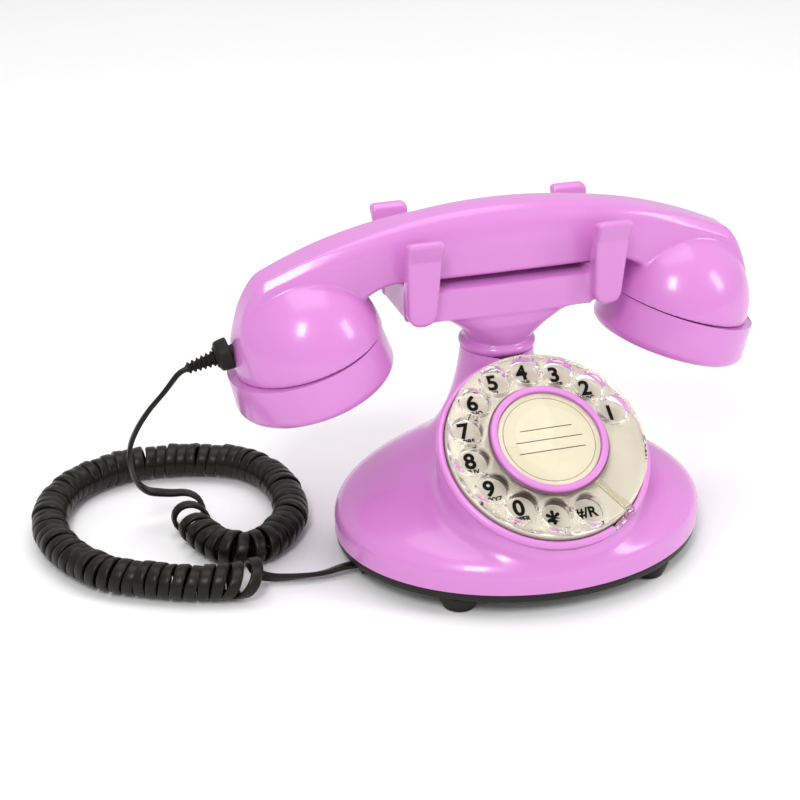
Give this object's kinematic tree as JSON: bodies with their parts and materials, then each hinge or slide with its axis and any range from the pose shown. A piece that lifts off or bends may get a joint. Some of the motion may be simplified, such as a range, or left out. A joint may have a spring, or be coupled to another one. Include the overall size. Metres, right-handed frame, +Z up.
{
  "type": "desk telephone",
  "caption": "Pedestal desk telephone with an oval base, a rotary dial with a clear finger wheel, and a corded handset resting in a pronged cradle",
  "frame": {"origin": "On the table, under the middle of the oval base.", "axes": "+X to the user's right along the handset, -Y towards the user and the dial, +Z up."},
  "size_m": [0.3123, 0.1746, 0.142],
  "materials": {
    "pink_gloss": "gloss",
    "black_plastic": "satin",
    "black_rubber": "matte",
    "black_cord": "satin",
    "clear_acrylic": "clear",
    "champagne_plate": "satin",
    "cream_card": "matte",
    "steel": "satin",
    "brass": "satin",
    "iron_weight": "matte",
    "copper_coil": "satin",
    "circuit_board": "satin",
    "capsule_case": "satin"
  },
  "bodies": {
    "base": {"base_plate": "black_plastic", "base_shell": "pink_gloss", "rubber_feet": "black_rubber", "base_screws": "steel", "ballast_weight": "iron_weight", "main_board": "circuit_board", "line_jack": "black_plastic", "ringer_switch": "black_plastic", "cord_gland": "black_plastic", "cradle": "pink_gloss", "cradle_nut": "steel", "hook_spring": "steel", "hook_switch": "black_plastic", "hook_bracket": "steel", "dial_bezel": "pink_gloss", "number_plate": "champagne_plate", "finger_stop": "clear_acrylic", "dial_frame": "steel", "dial_bushing": "brass", "return_spring": "steel", "pulse_contacts": "brass", "dial_screws": "steel", "governor_bridge": "steel", "gong": "brass", "gong_post": "steel", "ringer_coil": "copper_coil", "ringer_yoke": "steel", "cord_lead": "black_cord", "cord_curl": "black_cord", "cord_tail": "black_cord"},
    "handset": {"handset_shell": "pink_gloss", "receiver_cap": "pink_gloss", "transmitter_cap": "pink_gloss", "receiver_capsule": "capsule_case", "microphone_capsule": "capsule_case", "capsule_gaskets": "black_rubber", "handset_weight": "iron_weight", "cord_boot": "black_plastic"},
    "hook": {"hook_bar": "pink_gloss", "hook_rod": "steel"},
    "dial": {"finger_wheel": "clear_acrylic", "hub_ring": "pink_gloss", "label_card": "cream_card", "label_lens": "clear_acrylic", "dial_shaft": "steel", "drive_gear": "brass"},
    "governor": {"governor_pinion": "steel", "governor_cup": "brass"},
    "clapper": {"clapper": "steel"},
    "slider": {"ringer_slider": "black_plastic"}
  },
  "joints": [
    {"name": "handset_lift", "type": "slide", "parent": "base", "child": "handset", "axis": [0, 0, 1], "range_m": [0, 0.08]},
    {"name": "hook_plunger", "type": "slide", "parent": "base", "child": "hook", "axis": [0, 0, 1], "range_m": [0, 0.004], "deforming": ["hook_spring"]},
    {"name": "dial_turn", "type": "hinge", "parent": "base", "child": "dial", "pos_m": [0, -0.0274, 0.0555], "axis": [0, 0.5614, -0.8276], "range_deg": [0, 324], "stiffness_Nm_per_rad": 0.01, "springref_deg": -34.38},
    {"name": "governor_spin", "type": "hinge", "parent": "base", "child": "governor", "pos_m": [-0.02739, -0.03476, 0.0505], "axis": [0, 0.5614, -0.8276], "range_deg": [-1621, 0]},
    {"name": "clapper_swing", "type": "hinge", "parent": "base", "child": "clapper", "pos_m": [0.014, 0.012, 0.024], "axis": [0, 0, 1], "range_deg": [-4, 0], "stiffness_Nm_per_rad": 0.01, "springref_deg": 2.86},
    {"name": "ringer_slide", "type": "slide", "parent": "base", "child": "slider", "axis": [1, 0, 0], "range_m": [0, 0.006]}
  ],
  "couplings": [
    {"joint": "hook_plunger", "follows": "handset_lift", "ratio": 0.05},
    {"joint": "governor_spin", "follows": "dial_turn", "ratio": -5}
  ]
}
